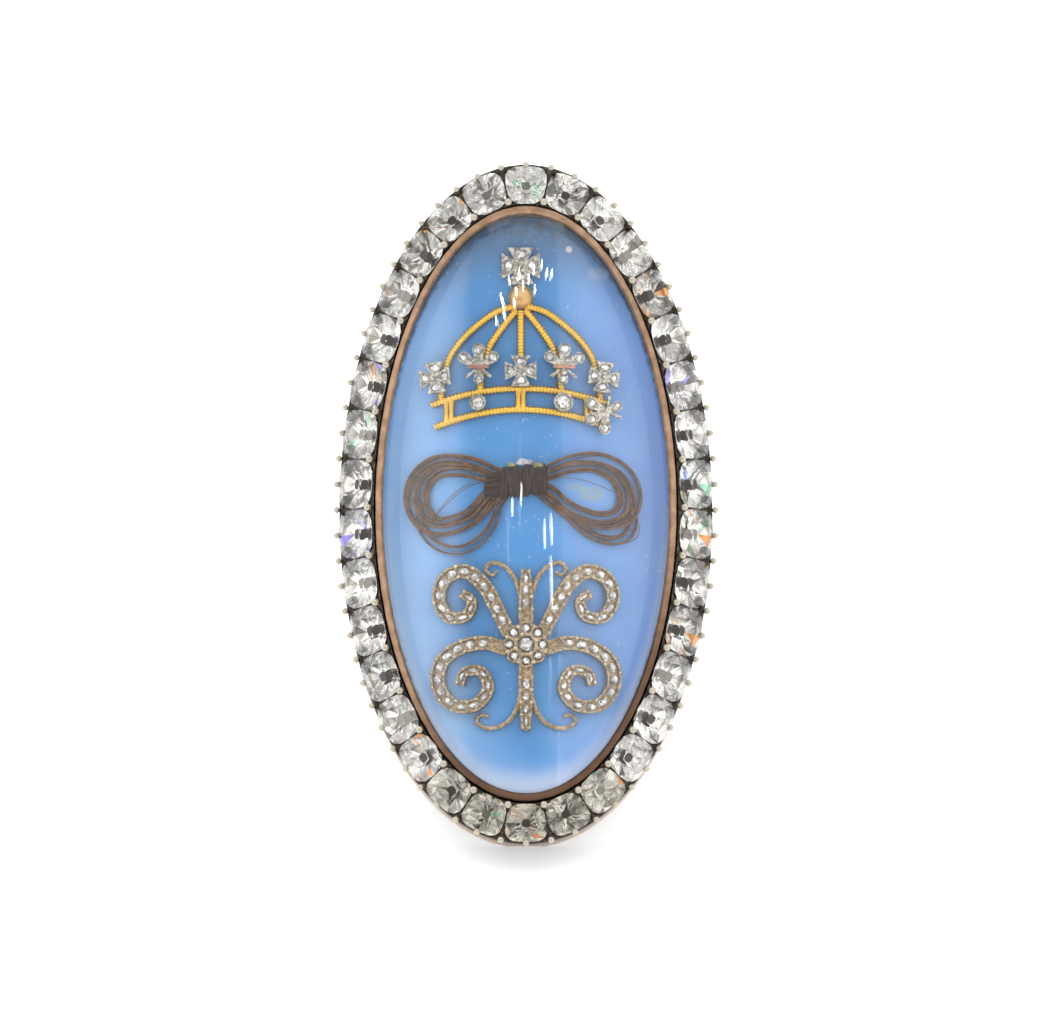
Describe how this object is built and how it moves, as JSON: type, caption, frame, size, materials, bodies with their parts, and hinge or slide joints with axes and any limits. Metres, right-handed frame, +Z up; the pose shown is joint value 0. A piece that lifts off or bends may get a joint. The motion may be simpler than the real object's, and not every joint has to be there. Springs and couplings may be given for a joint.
{
  "type": "mourning ring",
  "caption": "Long oval ring head set round with cushion cut stones, a domed crystal over a blue ground with a crown, a bow of hair and a jewelled flourish, on a gold hoop.",
  "frame": {"origin": "middle of the ring's box on the surface it rests on", "axes": "+Z up; +X across the head, to the right of a viewer who faces it; the head leans back and faces -Y and up, with the crown at its raised end; the finger hole's axis lies in the YZ plane"},
  "size_m": [0.0204, 0.0296, 0.0294],
  "materials": {
    "red_gold": "worn reddish gold, softly polished",
    "rose_gold": "matte rose gold with fine scratches",
    "yellow_gold": "bright yellow gold wire with fine ridges",
    "old_silver": "oxidised silver, bright on the claws",
    "setting_silver": "polished silver settings",
    "silver_gilt": "worn silver gilt",
    "diamond": "old cut colourless stone",
    "crystal": "clear polished rock crystal",
    "blue_glass": "opalescent blue glass",
    "hair": "fine brown hair in bundles",
    "tie_thread": "dark waxed binding"
  },
  "bodies": {
    "root": {"finger_band": "red_gold", "silver_border": "old_silver", "crystal_rim": "rose_gold", "crystal": "crystal", "blue_ground": "blue_glass", "crown_frame": "yellow_gold", "cross_top": "setting_silver", "cross_left": "setting_silver", "cross_centre": "setting_silver", "cross_right": "setting_silver", "fleur_left": "setting_silver", "fleur_right": "setting_silver", "fleur_loose": "setting_silver", "fleur_bars": "rose_gold", "circlet_collets": "setting_silver", "crown_stones": "diamond", "bow_left": "hair", "bow_right": "hair", "bow_tie": "tie_thread", "scroll_mount": "silver_gilt", "scroll_stones": "diamond", "stone_01": "diamond", "stone_02": "diamond", "stone_03": "diamond", "stone_04": "diamond", "stone_05": "diamond", "stone_06": "diamond", "stone_07": "diamond", "stone_08": "diamond", "stone_09": "diamond", "stone_10": "diamond", "stone_11": "diamond", "stone_12": "diamond", "stone_13": "diamond", "stone_14": "diamond", "stone_15": "diamond", "stone_16": "diamond", "stone_17": "diamond", "stone_18": "diamond", "stone_19": "diamond", "stone_20": "diamond", "stone_21": "diamond", "stone_22": "diamond", "stone_23": "diamond", "stone_24": "diamond", "stone_25": "diamond", "stone_26": "diamond", "stone_27": "diamond", "stone_28": "diamond", "stone_29": "diamond", "stone_30": "diamond", "stone_31": "diamond", "stone_32": "diamond", "stone_33": "diamond", "stone_34": "diamond"}
  },
  "joints": []
}
